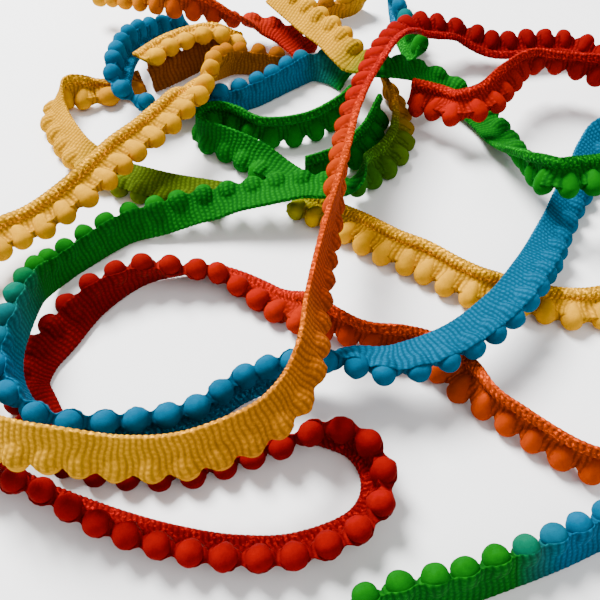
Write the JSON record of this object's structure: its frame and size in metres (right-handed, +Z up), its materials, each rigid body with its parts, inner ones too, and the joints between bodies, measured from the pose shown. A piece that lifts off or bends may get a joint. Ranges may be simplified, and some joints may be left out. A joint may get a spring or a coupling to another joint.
{
  "type": "loose pompom trim",
  "caption": "Loose tangle of narrow rainbow-dyed pompom trim: a ribbed knitted band with a plain selvedge and a row of small round felt pompoms, lying in loops on a flat surface.",
  "frame": {"origin": "on the surface that the trim lies on, under the middle of the tangle's bounding box", "axes": "+Z up, +Y away from the viewer, along the longer side of the tangle, +X to the viewer's right"},
  "size_m": [0.1917, 0.2232, 0.0286],
  "materials": {
    "yellow": "matte ribbed knit with round felted wool-like pompoms, space-dyed",
    "gold": "matte ribbed knit with round felted wool-like pompoms, space-dyed",
    "orange": "matte ribbed knit with round felted wool-like pompoms, space-dyed",
    "scarlet": "matte ribbed knit with round felted wool-like pompoms, space-dyed",
    "red": "matte ribbed knit with round felted wool-like pompoms, space-dyed",
    "lime": "matte ribbed knit with round felted wool-like pompoms, space-dyed",
    "olive": "matte ribbed knit with round felted wool-like pompoms, space-dyed",
    "green": "matte ribbed knit with round felted wool-like pompoms, space-dyed",
    "teal": "matte ribbed knit with round felted wool-like pompoms, space-dyed",
    "cyan": "matte ribbed knit with round felted wool-like pompoms, space-dyed"
  },
  "bodies": {
    "root": {"back_left_01_yellow": "yellow", "back_left_02_orange": "orange", "back_loop_01_cyan": "cyan", "back_loop_02_cyan": "cyan", "back_loop_03_cyan": "cyan", "back_middle_01_gold": "gold", "back_right_01_cyan": "cyan", "back_right_02_green": "green", "corner_01_green": "green", "corner_02_teal": "teal", "front_01_orange": "orange", "front_02_scarlet": "scarlet", "front_03_scarlet": "scarlet", "front_04_red": "red", "front_05_red": "red", "front_06_red": "red", "front_07_red": "red", "front_08_red": "red", "front_09_red": "red", "front_10_red": "red", "hairpin_01_green": "green", "hairpin_02_green": "green", "inner_01_green": "green", "left_01_gold": "gold", "left_02_yellow": "yellow", "left_03_yellow": "yellow", "left_04_olive": "olive", "left_inner_01_gold": "gold", "left_upper_01_yellow": "yellow", "middle_01_lime": "lime", "middle_02_green": "green", "middle_03_green": "green", "middle_04_teal": "teal", "middle_05_cyan": "cyan", "middle_06_cyan": "cyan", "middle_07_cyan": "cyan", "middle_08_cyan": "cyan", "middle_09_cyan": "cyan", "middle_10_teal": "teal", "middle_11_green": "green", "middle_12_green": "green", "middle_13_green": "green", "middle_14_yellow": "yellow", "over_01_gold": "gold", "over_02_yellow": "yellow", "over_03_yellow": "yellow", "over_04_yellow": "yellow", "over_05_yellow": "yellow", "over_06_yellow": "yellow", "over_07_gold": "gold", "over_08_orange": "orange", "over_09_scarlet": "scarlet", "over_10_red": "red", "over_11_red": "red", "over_12_red": "red", "over_13_scarlet": "scarlet", "slant_01_lime": "lime", "slant_02_yellow": "yellow", "slant_03_yellow": "yellow"}
  },
  "joints": []
}
